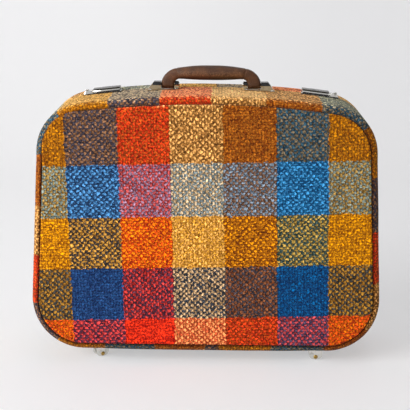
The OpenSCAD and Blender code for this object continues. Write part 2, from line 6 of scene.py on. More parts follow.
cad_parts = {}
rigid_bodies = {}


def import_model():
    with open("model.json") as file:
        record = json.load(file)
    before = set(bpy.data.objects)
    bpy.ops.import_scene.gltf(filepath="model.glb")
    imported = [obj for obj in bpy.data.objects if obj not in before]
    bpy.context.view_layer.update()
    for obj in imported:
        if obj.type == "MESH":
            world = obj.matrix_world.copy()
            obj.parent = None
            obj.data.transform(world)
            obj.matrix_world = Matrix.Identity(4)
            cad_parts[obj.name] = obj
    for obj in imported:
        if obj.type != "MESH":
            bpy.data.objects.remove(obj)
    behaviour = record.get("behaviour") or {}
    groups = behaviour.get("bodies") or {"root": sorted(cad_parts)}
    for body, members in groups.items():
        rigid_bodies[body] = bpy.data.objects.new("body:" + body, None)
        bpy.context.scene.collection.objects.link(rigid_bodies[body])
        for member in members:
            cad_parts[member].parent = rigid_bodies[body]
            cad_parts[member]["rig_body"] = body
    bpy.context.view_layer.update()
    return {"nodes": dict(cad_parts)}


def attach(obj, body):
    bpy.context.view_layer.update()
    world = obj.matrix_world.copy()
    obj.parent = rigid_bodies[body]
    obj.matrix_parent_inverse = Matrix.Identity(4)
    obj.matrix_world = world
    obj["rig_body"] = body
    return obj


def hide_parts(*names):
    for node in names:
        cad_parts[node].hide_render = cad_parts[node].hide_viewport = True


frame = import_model()

# Sizes of the case, in metres, as in the part's source
CASE_W, CASE_H = 0.480, 0.356
BASE_D, LID_D = 0.098, 0.044
LEAN = math.radians(3.1)
BOTTOM_R, TOP_R, CROWN_R = 0.073, 0.0685, 1.280
EDGE_R, CLOTH_T, SHELL_T = 0.009, 0.0018, 0.004
HEM, HALF_GAP = 0.011, 0.0003
HOOP_IN, HOOP_OUT = 0.030, 0.007
GROUND = 0.018
TOP_Z = GROUND + CASE_H
PART_Y = (BASE_D - LID_D) / 2
HANDLE_X, HANDLE_Y = 0.0044, PART_Y - 0.017
GRIP_Z = TOP_Z + 0.0216
BRACKET_CUT = TOP_Z + 0.0046
SIDES = ("left", "right")
CORNERS = ("front_left", "front_right", "rear_left", "rear_right")

# Outline of the case, followed from the middle of the top
bottom_centre = Vector((CASE_W / 2 - BOTTOM_R, BOTTOM_R))
crown_drop = CASE_H - CROWN_R - BOTTOM_R
reach = BOTTOM_R - TOP_R + bottom_centre.x * math.cos(LEAN) - crown_drop * math.sin(LEAN)
SHOULDER = math.asin(reach / (CROWN_R - TOP_R)) - LEAN
crown_centre = Vector((0, CASE_H - CROWN_R))
top_centre = crown_centre + (CROWN_R - TOP_R) * Vector((math.sin(SHOULDER), math.cos(SHOULDER)))
end_dir = Vector((math.cos(LEAN), math.sin(LEAN)))
end_head = top_centre + TOP_R * end_dir
end_foot = bottom_centre + BOTTOM_R * end_dir
CROWN_L = CROWN_R * SHOULDER
TOP_L = TOP_R * (math.pi / 2 - SHOULDER - LEAN)
END_L = (end_head - end_foot).length
BOTTOM_L = BOTTOM_R * (math.pi / 2 + LEAN)
HALF_WAY = CROWN_L + TOP_L + END_L + BOTTOM_L + bottom_centre.x
TOP_MID = CROWN_L + TOP_L / 2


def rim(s):
    """Place and outward direction on the outline, s metres clockwise from the middle of the top."""
    t = abs(s)
    if t <= CROWN_L:
        a = t / CROWN_R
        out = Vector((math.sin(a), math.cos(a)))
        p = crown_centre + CROWN_R * out
    elif t <= CROWN_L + TOP_L:
        a = SHOULDER + (t - CROWN_L) / TOP_R
        out = Vector((math.sin(a), math.cos(a)))
        p = top_centre + TOP_R * out
    elif t <= CROWN_L + TOP_L + END_L:
        out = end_dir.copy()
        p = end_head.lerp(end_foot, (t - CROWN_L - TOP_L) / END_L)
    elif t <= HALF_WAY - bottom_centre.x:
        a = LEAN - (t - CROWN_L - TOP_L - END_L) / BOTTOM_R
        out = Vector((math.cos(a), math.sin(a)))
        p = bottom_centre + BOTTOM_R * out
    else:
        out = Vector((0, -1))
        p = Vector((HALF_WAY - t, 0))
    if s < 0:
        p.x, out.x = -p.x, -out.x
    return p, out


def share(distance, length):
    """How much of a length a distance has covered, from 0 to 1."""
    return min(1.0, max(0.0, distance / length))


def ripple(x, y, z, wave, amount):
    """Slow unevenness of glued cloth."""
    return amount * noise.noise(Vector((x / wave, y / wave, z / wave)))


# Bench helpers
def mode(name):
    bpy.ops.object.mode_set(mode=name)


def put_down():
    if bpy.context.object and bpy.context.object.mode != "OBJECT":
        mode("OBJECT")
    bpy.ops.object.select_all(action="DESELECT")


def pick(obj):
    put_down()
    obj.select_set(True)
    bpy.context.view_layer.objects.active = obj


def sheet_mesh(name, points, faces, corners_uv, crease_shade=None):
    """Smooth mesh; each face corner carries its place in the named maps, and each point its painted crease
    shade.
    """
    mesh = bpy.data.meshes.new(name)
    mesh.from_pydata(points, [], faces)
    for layer, values in corners_uv.items():
        uv = mesh.uv_layers.new(name=layer)
        flat = [c for face in values for corner in face for c in corner]
        uv.data.foreach_set("uv", flat)
    if crease_shade:
        mesh.attributes.new("crease_shade", "FLOAT", "POINT").data.foreach_set("value", crease_shade)
    obj = bpy.data.objects.new(name, mesh)
    bpy.context.scene.collection.objects.link(obj)
    pick(obj)
    bpy.ops.object.shade_smooth()
    return obj


# Material helpers
def tone(text):
    """Colour written as six hex digits, as a screen shows it, for a shader."""
    parts = [int(text[i:i + 2], 16) / 255 for i in (0, 2, 4)]
    return tuple(c / 12.92 if c <= 0.04045 else ((c + 0.055) / 1.055) ** 2.4 for c in parts) + (1,)


class Finish:
    """A material in the making, with short ways to add its nodes."""

    def __init__(self, name):
        self.material = bpy.data.materials.new(name)
        self.material.use_nodes = True
        self.tree = self.material.node_tree
        self.shader = self.tree.nodes["Principled BSDF"]

    def add(self, kind, **settings):
        node = self.tree.nodes.new("ShaderNode" + kind)
        for key, value in settings.items():
            setattr(node, key, value)
        return node

    def feed(self, socket, value):
        if isinstance(value, bpy.types.NodeSocket):
            self.tree.links.new(value, socket)
        else:
            socket.default_value = value

    def give(self, name, value):
        """Feed one of the shader's own sockets."""
        self.feed(self.shader.inputs[name], value)

    def spot(self):
        return self.add("TexCoord").outputs["Object"]

    def own_map(self, name):
        """Place on one of the cloth's own maps."""
        return self.add("UVMap", uv_map=name).outputs[0]

    def calc(self, operation, a, b=0.0, clamp=False):
        node = self.add("Math", operation=operation, use_clamp=clamp)
        self.feed(node.inputs[0], a)
        self.feed(node.inputs[1], b)
        return node.outputs[0]

    def plus(self, a, b):
        return self.calc("ADD", a, b)

    def minus(self, a, b):
        return self.calc("SUBTRACT", a, b)

    def times(self, a, b):
        return self.calc("MULTIPLY", a, b)

    def over(self, a, b):
        return self.calc("DIVIDE", a, b)

    def size(self, a):
        return self.calc("ABSOLUTE", a)

    def wave(self, a):
        return self.calc("SINE", a)

    def spread(self, value, low, high, to_low=0.0, to_high=1.0, smooth=True):
        """Range from low to high stretched over another range."""
        node = self.add("MapRange", interpolation_type="SMOOTHSTEP" if smooth else "LINEAR")
        for i, v in enumerate((value, low, high, to_low, to_high)):
            self.feed(node.inputs[i], v)
        return node.outputs[0]

    def blend(self, amount, a, b, how="MIX"):
        node = self.add("Mix", data_type="RGBA", blend_type=how)
        self.feed(node.inputs[0], amount)
        self.feed(node.inputs[6], a)
        self.feed(node.inputs[7], b)
        return node.outputs[2]

    def speckle(self, vector, scale, detail=2.0, rough=0.5, output="Fac"):
        node = self.add("TexNoise")
        self.feed(node.inputs["Vector"], vector)
        self.feed(node.inputs["Scale"], scale)
        self.feed(node.inputs["Detail"], detail)
        self.feed(node.inputs["Roughness"], rough)
        return node.outputs[output]

    def moved(self, vector, by, how="ADD"):
        node = self.add("VectorMath", operation=how)
        self.feed(node.inputs[0], vector)
        self.feed(node.inputs[1], by)
        return node.outputs[0]

    def scaled(self, vector, by):
        node = self.add("VectorMath", operation="SCALE")
        self.feed(node.inputs[0], vector)
        self.feed(node.inputs["Scale"], by)
        return node.outputs[0]

    def stirred(self, vector, scale, detail, amount):
        """Place pushed about by a noise, so that a pattern on it isn't drawn with a ruler."""
        return self.moved(vector, self.scaled(self.speckle(vector, scale, detail, output="Color"), amount))

    def split(self, vector):
        node = self.add("SeparateXYZ")
        self.feed(node.inputs[0], vector)
        return node.outputs

    def bent(self, colour, power):
        node = self.add("Gamma")
        self.feed(node.inputs[0], colour)
        self.feed(node.inputs[1], power)
        return node.outputs[0]

    def weight(self, colour):
        """How light a colour looks."""
        node = self.add("RGBToBW")
        self.feed(node.inputs[0], colour)
        return node.outputs[0]

    def steps(self, value, stops):
        """Bands of flat colour along a value from 0 to 1."""
        node = self.add("ValToRGB")
        bands = node.color_ramp
        bands.interpolation = "CONSTANT"
        while len(bands.elements) < len(stops):
            bands.elements.new(0.5)
        for element, (at, colour) in zip(bands.elements, stops):
            element.position = at
            element.color = colour
        self.feed(node.inputs[0], value)
        return node.outputs[0]

    def bump(self, height, strength, distance):
        node = self.add("Bump")
        self.feed(node.inputs["Strength"], strength)
        self.feed(node.inputs["Distance"], distance)
        self.feed(node.inputs["Height"], height)
        self.give("Normal", node.outputs[0])


# Woven block check: coloured warp and weft yarns cross in blocks, over one and under one
WARP = [tone(c) for c in ("C68000", "2B4472", "F53511", "F5BE77", "A2540C", "005A8E")]
WEFT = [tone(c) for c in ("8D5817", "4985AF", "CB8903", "123F6A", "E53315", "EAC584")]
NAVY_WARP, CREAM_WARP, BROWN_WARP = 1, 3, 4
THREAD, STRIPE = 0.00395, 0.0722
WANDER, KNOBS = 0.0036, 0.0068
FLOAT_DRAW, LOOSE, SOFT_EDGE = 0.34, 2.4, 0.26
YARN_ROUND, TWIST_DEPTH, FIBRE_DEPTH = 0.7, 0.12, 0.5
DYE_LOT, MOTTLE, PATCHY = (0.66, 1.34), (0.36, 1.64), (0.93, 1.06)
WEFT_LIGHT, WARP_LIGHT, CROWN_LIGHT, GAP_LIGHT, TUCK_LIGHT = 1.16, 0.84, 1.25, 0.26, 0.22
MIX_DARK, MIX_BRIGHT = 0.82, 0.52
SCREEN_GAMMA = 2.2


def woven_check():
    cloth = Finish("woven_block_check")
    threads, stripes = cloth.own_map("threads"), cloth.own_map("stripes")
    # Yarns wander a little from their lines and are thick and thin
    half = (0.5, 0.5, 0.5)
    wander = cloth.moved(cloth.speckle(threads, 70, 1.0, output="Color"), half, "SUBTRACT")
    knobs = cloth.moved(cloth.speckle(threads, 240, 1.0, output="Color"), half, "SUBTRACT")
    stray = cloth.moved(cloth.scaled(wander, WANDER), cloth.scaled(knobs, KNOBS))
    laid = cloth.moved(threads, stray)
    place = cloth.split(laid)
    band = cloth.split(cloth.moved(stripes, cloth.scaled(stray, 1 / STRIPE)))
    a = cloth.times(place[0], math.pi / THREAD)
    b = cloth.times(place[1], math.pi / THREAD)
    wave_a, wave_b = cloth.wave(a), cloth.wave(b)
    across, along = cloth.size(wave_a), cloth.size(wave_b)
    # Over and under; each float is drawn out along its own yarn
    drawn = cloth.times(cloth.minus(across, along), FLOAT_DRAW)
    crossing = cloth.plus(cloth.times(wave_a, wave_b), drawn)
    loose = cloth.times(cloth.minus(cloth.speckle(threads, 120, 2.0), 0.5), LOOSE)
    on_top = cloth.spread(cloth.plus(crossing, loose), -SOFT_EDGE, SOFT_EDGE)
    under = cloth.minus(1.0, on_top)

    def round_yarn(side, length):
        edge = cloth.calc("POWER", side, YARN_ROUND)
        return cloth.times(edge, cloth.plus(cloth.times(length, 0.5), 0.5))

    def by_yarn(of_warp, of_weft):
        return cloth.plus(cloth.times(of_warp, on_top), cloth.times(of_weft, under))

    crown = by_yarn(round_yarn(across, along), round_yarn(along, across))
    # The brown weft starts a little before its stripe, and all before that is cream, with a soft change
    warp_stops = [(i / len(WARP), c) for i, c in enumerate(WARP)]
    weft_stops = [(i / len(WEFT), c) for i, c in enumerate(WEFT)] + [(0.96, WEFT[0])]
    warp = cloth.steps(cloth.calc("FRACT", cloth.over(band[0], len(WARP))), warp_stops)
    weft = cloth.steps(cloth.calc("FRACT", cloth.over(band[1], len(WEFT))), weft_stops)
    weft = cloth.blend(cloth.spread(band[1], -0.125, -0.045), WEFT[5], weft)
    upper = cloth.blend(on_top, weft, warp)
    # Loose fibres of both yarns mix, so each takes some of the other's hue
    half_way = cloth.blend(0.5, cloth.bent(weft, 1 / SCREEN_GAMMA), cloth.bent(warp, 1 / SCREEN_GAMMA))
    both = cloth.bent(half_way, SCREEN_GAMMA)
    ratio = cloth.over(cloth.weight(upper), cloth.weight(cloth.blend(0.5, weft, warp)))
    mixed = cloth.scaled(both, ratio)
    mixing = cloth.spread(ratio, 0.55, 1.45, MIX_DARK, MIX_BRIGHT, smooth=False)
    colour = cloth.blend(mixing, upper, mixed)
    # Each float takes the dye a little differently; painted light and shade over the yarns' rounds, their
    # twisted plies and the gaps between them
    cell = cloth.add("VectorMath", operation="FLOOR")
    cloth.feed(cell.inputs[0], cloth.scaled(laid, 1 / THREAD))
    lot = cloth.add("TexWhiteNoise", noise_dimensions="2D")
    cloth.feed(lot.inputs["Vector"], cell.outputs[0])
    own = cloth.spread(lot.outputs["Value"], 0, 1, *DYE_LOT, smooth=False)
    twist_a = cloth.wave(cloth.plus(cloth.times(a, 1.1), cloth.times(b, 2.6)))
    twist_b = cloth.wave(cloth.plus(cloth.times(b, 1.1), cloth.times(a, 2.6)))
    twist = cloth.times(by_yarn(twist_a, twist_b), TWIST_DEPTH)
    mottle = cloth.spread(cloth.speckle(threads, 340, 3.0, 0.6), 0.3, 0.7, *MOTTLE)
    patchy = cloth.spread(cloth.speckle(threads, 42, 3.0), 0.3, 0.7, *PATCHY)
    light = cloth.times(cloth.times(mottle, patchy), own)
    light = cloth.times(light, cloth.spread(on_top, 0, 1, WEFT_LIGHT, WARP_LIGHT, smooth=False))
    light = cloth.times(light, cloth.plus(cloth.times(crown, CROWN_LIGHT), GAP_LIGHT))
    light = cloth.times(light, cloth.plus(twist, 1.0))
    # Painted shade darkens the cloth where it is tucked in
    crease_shade = cloth.add("Attribute", attribute_name="crease_shade").outputs["Fac"]
    light = cloth.times(light, cloth.spread(crease_shade, 0, 1, 1.0, TUCK_LIGHT, smooth=False))
    # Light that is caught between the fibres comes out deeper in hue
    deep = cloth.bent(colour, 1.5)
    deep = cloth.scaled(deep, cloth.over(cloth.weight(colour), cloth.weight(deep)))
    colour = cloth.blend(cloth.spread(light, 0.2, 1.2, 0.85, 0.1), colour, deep)
    grey = cloth.add("CombineColor")
    for socket in grey.inputs:
        cloth.feed(socket, light)
    cloth.give("Base Color", cloth.blend(1.0, colour, grey.outputs[0], "MULTIPLY"))
    fibre = cloth.speckle(threads, 1500, 3.0, 0.7)
    height = cloth.plus(cloth.plus(crown, twist), cloth.times(fibre, FIBRE_DEPTH))
    cloth.bump(height, 0.85, 0.0012)
    cloth.give("Roughness", cloth.spread(fibre, 0.3, 0.7, 0.82, 0.98))
    cloth.give("Specular IOR Level", 0.1)
    cloth.give("Sheen Weight", 0.1)
    cloth.give("Sheen Roughness", 0.5)
    cloth.give("Sheen Tint", (1.0, 0.94, 0.86, 1))
    return cloth.material


COTTON_THREAD, COTTON_STRIPE = 0.0006, 0.012


def cotton_lining():
    cotton = Finish("cotton_lining")
    threads = cotton.own_map("threads")
    place = cotton.split(cotton.stirred(threads, 160, 1.0, 0.0004))
    a = cotton.wave(cotton.times(place[0], math.pi / COTTON_THREAD))
    b = cotton.wave(cotton.times(place[1], math.pi / COTTON_THREAD))
    weave = cotton.size(cotton.times(a, b))
    stripe = cotton.wave(cotton.times(place[0], 2 * math.pi / COTTON_STRIPE))
    age = cotton.speckle(threads, 14, 4.0, 0.6)
    base = cotton.blend(cotton.spread(stripe, 0.82, 0.92), tone("C9B48A"), tone("A8905F"))
    base = cotton.blend(cotton.spread(age, 0.45, 0.8, 0.0, 0.45), base, tone("A68A5C"))
    # The weave is darker between the threads: painted shade
    base = cotton.blend(cotton.spread(weave, 0.0, 0.6, 0.35, 0.0), base, tone("6E5A39"))
    cotton.give("Base Color", base)
    cotton.give("Roughness", cotton.spread(age, 0.3, 0.7, 0.7, 0.9))
    cotton.give("Sheen Weight", 0.15)
    cotton.bump(cotton.plus(weave, cotton.times(age, 1.5)), 0.4, 0.0003)
    return cotton.material


# Where the leather's painted highlight and painted shade lie along the grip
GRIP_FADE, HIGHLIGHT_LOW, HIGHLIGHT_FADE = (0.040, 0.049), 0.001, (0.001, 0.0055)
UNDER_FADE, OVER_FADE = (-0.0085, -0.0025), (0.005, 0.0095)


def grained_leather():
    hide = Finish("grained_leather")
    spot = hide.spot()
    cells = hide.add("TexVoronoi", feature="DISTANCE_TO_EDGE")
    hide.feed(cells.inputs["Vector"], hide.stirred(spot, 300, 2.0, 0.0012))
    hide.feed(cells.inputs["Scale"], 1050)
    grain = hide.spread(cells.outputs["Distance"], 0.0, 0.25)
    pores_and_glints = hide.speckle(spot, 1300, 3.0, 0.65)
    wear = hide.speckle(spot, 55, 4.0, 0.6)
    base = hide.blend(hide.spread(wear, 0.35, 0.75), tone("4A2C17"), tone("6F472B"))
    base = hide.blend(hide.spread(grain, 0.0, 0.8, 0.55, 0.0), base, tone("2C1A12"))
    # Light flecks on the grain are painted glints; the same noise also gives the pores' bumps
    base = hide.blend(hide.spread(pores_and_glints, 0.58, 0.72, 0.0, 0.6), base, tone("A5825F"))
    # Along the grip a light band on the front is a painted highlight; its underside and top are painted dark
    # as shade
    place = hide.split(spot)
    along_grip = hide.spread(hide.size(hide.minus(place[0], HANDLE_X)), *GRIP_FADE, 1.0, 0.0)
    rise = hide.minus(place[2], GRIP_Z)
    highlight_band = hide.spread(hide.size(hide.plus(rise, HIGHLIGHT_LOW)), *HIGHLIGHT_FADE, 1.0, 0.0)
    pebbles = hide.spread(hide.speckle(spot, 760, 3.0, 0.65), 0.46, 0.66, 0.0, 0.75)
    base = hide.blend(hide.times(hide.times(highlight_band, pebbles), along_grip), base, tone("8C6646"))
    underside_shade = hide.spread(rise, *UNDER_FADE, 0.85, 0.0)
    topside_shade = hide.spread(rise, *OVER_FADE, 0.0, 0.35)
    base = hide.blend(hide.times(hide.plus(underside_shade, topside_shade), along_grip), base, tone("20120B"))
    hide.give("Base Color", base)
    hide.give("Roughness", hide.spread(wear, 0.3, 0.7, 0.36, 0.56))
    hide.give("Specular IOR Level", 0.28)
    hide.bump(hide.plus(grain, hide.times(pores_and_glints, 0.8)), 0.4, 0.0003)
    return hide.material


def plated(name, bright, dull, rough_low, rough_high, worn=1.0):
    """Plated metal with fine scratches and a little tarnish."""
    metal = Finish(name)
    spot = metal.spot()
    tarnish = metal.speckle(spot, 160, 5.0, 0.62)
    line = metal.add("Mapping")
    metal.feed(line.inputs["Scale"], (120, 2600, 2600))
    metal.feed(line.inputs["Rotation"], (0.3, 0.5, 0.2))
    metal.feed(line.inputs["Vector"], spot)
    scratch = metal.speckle(line.outputs[0], 1.0, 2.0)
    metal.give("Base Color", metal.blend(metal.spread(tarnish, 0.5, 0.78), tone(bright), tone(dull)))
    metal.give("Metallic", 1.0)
    rough = metal.spread(tarnish, 0.35, 0.8, rough_low, rough_high)
    metal.give("Roughness", metal.plus(rough, metal.spread(scratch, 0.6, 0.8, 0.0, 0.1 * worn)))
    metal.bump(metal.plus(scratch, metal.times(tarnish, 0.6)), 0.12 * worn, 0.0001)
    return metal.material


def black_enamel_and_shade():
    paint = Finish("black_enamel_and_shade")
    spot = paint.spot()
    haze = paint.speckle(spot, 210, 4.0, 0.6)
    chips = paint.spread(paint.speckle(spot, 900, 3.0, 0.7), 0.69, 0.73)
    base = paint.blend(paint.spread(haze, 0.4, 0.8), tone("0B0C0E"), tone("1E2022"))
    paint.give("Base Color", paint.blend(chips, base, tone("8C8C8A")))
    paint.give("Metallic", chips)
    paint.give("Roughness", paint.spread(haze, 0.3, 0.8, 0.1, 0.3))
    paint.bump(paint.minus(haze, chips), 0.15, 0.0002)
    return paint.material


def bent_ply():
    wood = Finish("bent_ply")
    spot = wood.spot()
    grain = wood.add("TexWave", wave_type="BANDS", bands_direction="Y")
    wood.feed(grain.inputs["Vector"], wood.stirred(spot, 9, 3.0, 0.012))
    wood.feed(grain.inputs["Scale"], 260)
    wood.feed(grain.inputs["Distortion"], 3.0)
    wood.feed(grain.inputs["Detail"], 3.0)
    fleck = wood.speckle(spot, 420, 3.0)
    base = wood.blend(grain.outputs["Fac"], tone("B98A52"), tone("946637"))
    base = wood.blend(wood.spread(fleck, 0.55, 0.75, 0.0, 0.5), base, tone("6C4622"))
    wood.give("Base Color", base)
    wood.give("Roughness", wood.spread(fleck, 0.3, 0.7, 0.45, 0.65))
    wood.bump(grain.outputs["Fac"], 0.2, 0.0002)
    return wood.material


def fibreboard():
    pressed = Finish("fibreboard")
    pulp = pressed.speckle(pressed.spot(), 340, 5.0, 0.7)
    pressed.give("Base Color", pressed.blend(pressed.spread(pulp, 0.35, 0.7), tone("5A4029"), tone("84623F")))
    pressed.give("Roughness", pressed.spread(pulp, 0.3, 0.7, 0.75, 0.95))
    pressed.bump(pulp, 0.4, 0.0005)
    return pressed.material


check_cloth = woven_check()
lining_cotton = cotton_lining()
leather = grained_leather()
nickel = plated("bright_nickel", "D9D8D2", "A09C92", 0.08, 0.26)
# Chrome of the brackets' feet, and a painted highlight on their eased edges
chrome_and_highlight = plated("yellowed_chrome_and_highlight", "B39F7E", "8A785C", 0.04, 0.12, 0.3)
steel = plated("dull_steel", "B9B7B1", "7E7A72", 0.22, 0.42)
# Dark metal that paints a dark reflection on the hasps' tops
dark_reflection = plated("painted_dark_reflection", "35322A", "201E19", 0.24, 0.4)
# Dark metal that paints shade on the castor forks' tops
fork_top_shade = plated("painted_fork_top_shade", "7E6E4A", "4E4330", 0.16, 0.3)
brass = plated("dull_brass", "A98A4A", "6A5530", 0.25, 0.45)
# Black enamel of the brackets, also used for painted shadow lines on the lock plates and hasps
enamel_and_shade = black_enamel_and_shade()
ply = bent_ply()
board = fibreboard()

# Rows of points round the outline, which the covers and linings share
AROUND = 504
ALONG = [-HALF_WAY + 2 * HALF_WAY * i / AROUND for i in range(AROUND + 1)]
RIM = [rim(s) for s in ALONG]
MIDDLE = Vector((0, 0.5 * CASE_H + GROUND))


def face_y(front, d):
    """Place in y at a depth d behind the base's face or the lid's."""
    return PART_Y - BASE_D + d if front else PART_Y + LID_D - d


def run_along(rows):
    """Distance along a section at each of its points."""
    run = [0.0]
    for (n0, d0), (n1, d1) in zip(rows, rows[1:]):
        run.append(run[-1] + math.hypot(n1 - n0, d1 - d0))
    return run


def quads_between(rows, turned):
    """Faces between rows of points, each corner as its row and its place round the outline."""
    quads = []
    for r in range(rows - 1):
        for c in range(AROUND):
            quad = [(r, c), (r, c + 1), (r + 1, c + 1), (r + 1, c)]
            quads.append(quad[::-1] if turned else quad)
    return quads


def numbered(quad):
    return [r * AROUND + c % AROUND for r, c in quad]


def fan(rows, centre, turned):
    """Faces from the last row of points to one point in the middle."""
    last = (rows - 1) * AROUND
    faces = [[last + c, last + (c + 1) % AROUND, centre] for c in range(AROUND)]
    return [face[::-1] for face in faces] if turned else faces


# Cloth covers; a section's points are n outside the outline and d behind the face
TUCK = [(-0.0150, 0.0016), (-0.0128, 0.0016), (-0.0112, 0.0015), (-0.0103, 0.0010), (-0.0096, 0.0004)]
TUCK_SHADE = [1, 1, 1, 1, 1, 0.85, 0.5, 0.2]
TUCK_N, HEM_ROW = -0.0090, 3
FOLD = [(0.0, 0.0009), (0.00005, 0.0003), (-0.0001, -0.0003), (-0.0005, -0.0008), (-0.0012, -0.00115),
        (-0.0024, -0.00135), (-0.0048, -0.00135), (-0.0075, -0.0012), (-0.011, -0.0012)]
FOLD_SHADE = [1, 0.8, 0.4]
FULL_HEM, FULL_REACH = 0.0044, 0.044
DRAWN_IN, DRAW_HEAD, DRAW_FOOT, FOOT_FREE = 0.0012, 0.06, 0.05, 0.1
NARROW_STRIPE, WIDE_STRIPE = 0.0690, 0.0730
STRIP_SWELL, STRIP_RIPPLE = (0.045, 0.0003), (0.012, 0.00012)
FACE_SWELL, FACE_RIPPLE, HEM_RIPPLE = (0.09, 0.0006), (0.03, 0.00025), (0.02, 0.00035)
HEM_HOLDS, EDGE_HOLDS, EDGE_HELD = 0.006, 0.02, 0.001
PADDING, PADDING_RISE, MIDDLE_RISE, FOLD_FOLLOWS = 0.0005, 5, 0.0004, 0.9
TOP_SHADE, SHADE_TURN = 0.35, 0.06
ROUND_STEPS, ROW_STEP, FACE_RINGS = 10, 0.0036, 30


def hem_shift(s, front):
    """The front panel's hem was folded a little fuller at the upper left corner."""
    return FULL_HEM * math.exp(-((s + TOP_MID) / FULL_REACH) ** 2) if front else 0.0


def drawn_in(s):
    """How far tension draws the strip in at s, which is at the ends and the lower corners."""
    held = share(abs(s) - TOP_MID, DRAW_HEAD) * share(HALF_WAY - FOOT_FREE - abs(s), DRAW_FOOT)
    return DRAWN_IN * held


def roll_drop(n):
    """How far the rounded edge has fallen away from the face at n outside the outline."""
    k = max(0.0, n + EDGE_R)
    return EDGE_R - math.sqrt(max(1e-12, EDGE_R ** 2 - k * k)) if k < EDGE_R else EDGE_R


def side_profile(depth):
    """Section of the wrapped side strip from under the face panel to the parting line."""
    rows = list(TUCK)
    for i in range(ROUND_STEPS + 1):
        a = math.pi / 2 * i / ROUND_STEPS
        rows.append((-EDGE_R + EDGE_R * math.sin(a), EDGE_R - EDGE_R * math.cos(a)))
    end = depth - HALF_GAP
    last = end - 0.0006
    count = max(6, round((last - EDGE_R) / ROW_STEP))
    for i in range(1, count + 1):
        rows.append((0.0, EDGE_R + (last - EDGE_R) * i / count))
    return rows + [(-0.0002, end - 0.0002), (-0.0007, end), (-0.0017, end)]


def shade_in(rows):
    """Strength of the painted crease shade at each point, weaker along the top where the light falls in."""
    shares = [TOP_SHADE + (1 - TOP_SHADE) * share(abs(s) - CROWN_L, SHADE_TURN) for s in ALONG[:-1]]
    return [depth * lit for depth in rows for lit in shares]


def warp_row(s, start):
    """Which warp stripe runs at s: those left of the start were pulled a little narrower."""
    return (s - start) / (NARROW_STRIPE if s < start else WIDE_STRIPE) + CREAM_WARP


def weft_row(r, s):
    """Which weft stripe runs r metres from the hem: brown, then cream."""
    change_row, slow, quick, slow_for = -0.085, 5.5, 11, 0.03
    change = 0.0125 + 0.0065 * share(abs(s) - CROWN_L, TOP_L)
    near = min(r, slow_for)
    return change_row - (near - change) * slow - (r - near) * quick


def side_strip(name, front, depth, bands_at):
    """Strip that wraps the side and is tucked under the face panel; returns its width too."""
    rows = side_profile(depth)
    run = run_along(rows)
    points = []
    for n, d in rows:
        free = share(n - TUCK[-1][0], HEM_HOLDS) * share(depth - d - EDGE_HELD, EDGE_HOLDS)
        y = face_y(front, d)
        for (p, out), s in zip(RIM[:-1], ALONG):
            uneven = ripple(p.x, y, p.y, *STRIP_SWELL) + ripple(p.x, y, p.y, *STRIP_RIPPLE)
            lift, drop = free * (uneven - drawn_in(s)), 0.0
            if n < TUCK_N:
                lift += hem_shift(s, front)
                drop = roll_drop(n + hem_shift(s, front))
            q = p + (n + lift) * out
            points.append((q.x, face_y(front, d + drop), q.y + GROUND))
    quads = quads_between(len(rows), not front)
    threads = [[(ALONG[c], run[r]) for r, c in quad] for quad in quads]
    stripes = [[(warp_row(ALONG[c], bands_at), weft_row(run[r] - run[HEM_ROW], ALONG[c])) for r, c in quad]
               for quad in quads]
    tucked = TUCK_SHADE + [0] * (len(rows) - len(TUCK_SHADE))
    faces = [numbered(quad) for quad in quads]
    obj = sheet_mesh(name, points, faces, {"threads": threads, "stripes": stripes}, shade_in(tucked))
    return obj, run[-1]


def face_panel(name, front, place):
    """Face panel with a turned hem, laid over the side strip."""
    points, hem_points = [], []
    for n, d in FOLD:
        hem_points = []
        for (p, out), s in zip(RIM[:-1], ALONG):
            crooked = ripple(s, 0.3, 0.7, *HEM_RIPPLE) * max(0.0, 1 + n / HEM)
            m = n - HEM + hem_shift(s, front) + crooked
            q = p + m * out
            hem_points.append((q.x, face_y(front, d + roll_drop(m) * FOLD_FOLLOWS), q.y + GROUND))
        points += hem_points
    flat = FOLD[-1][1]
    for k in range(1, FACE_RINGS):
        t = 1 - k / FACE_RINGS
        soft = min(1.0, (1 - t) * PADDING_RISE)
        for x, y, z in hem_points:
            q = MIDDLE.lerp(Vector((x, z)), t)
            uneven = ripple(q.x, 0.2, q.y, *FACE_SWELL) + ripple(q.x, 0.9, q.y, *FACE_RIPPLE)
            points.append((q.x, face_y(front, flat - soft * (PADDING + uneven)), q.y))
    points.append((0, face_y(front, flat - MIDDLE_RISE), MIDDLE.y))
    rows = len(FOLD) + FACE_RINGS - 1
    faces = [numbered(quad) for quad in quads_between(rows, not front)]
    faces += fan(rows, len(points) - 1, not front)
    laid = [[place(points[i]) for i in face] for face in faces]
    threads = [[corner[:2] for corner in face] for face in laid]
    stripes = [[corner[2:] for corner in face] for face in laid]
    tucked = shade_in(FOLD_SHADE + [0] * (rows - len(FOLD_SHADE))) + [0]
    return sheet_mesh(name, points, faces, {"threads": threads, "stripes": stripes}, tucked)


# How the check lies on each face: it is a little turned, and its stripes count from a first edge
CHECK_Z = 0.220
FRONT_TURN = math.radians(1.57)


def turned_place(x, z, turn):
    """Place on cloth that is laid turned by an angle."""
    u = math.cos(turn) * x + math.sin(turn) * z
    v = math.cos(turn) * z - math.sin(turn) * x
    return u, v


def front_place(p):
    """Place on the base's face, in metres and in stripes; the navy warp starts at the warp's edge."""
    warp_edge, warp_width, weft_edge, weft_width = -0.18693, 0.07024, 0.13732, 0.07213
    u, v = turned_place(p[0], p[2] - CHECK_Z, FRONT_TURN)
    return u, v, (u - warp_edge) / warp_width + NAVY_WARP, (weft_edge - v) / weft_width


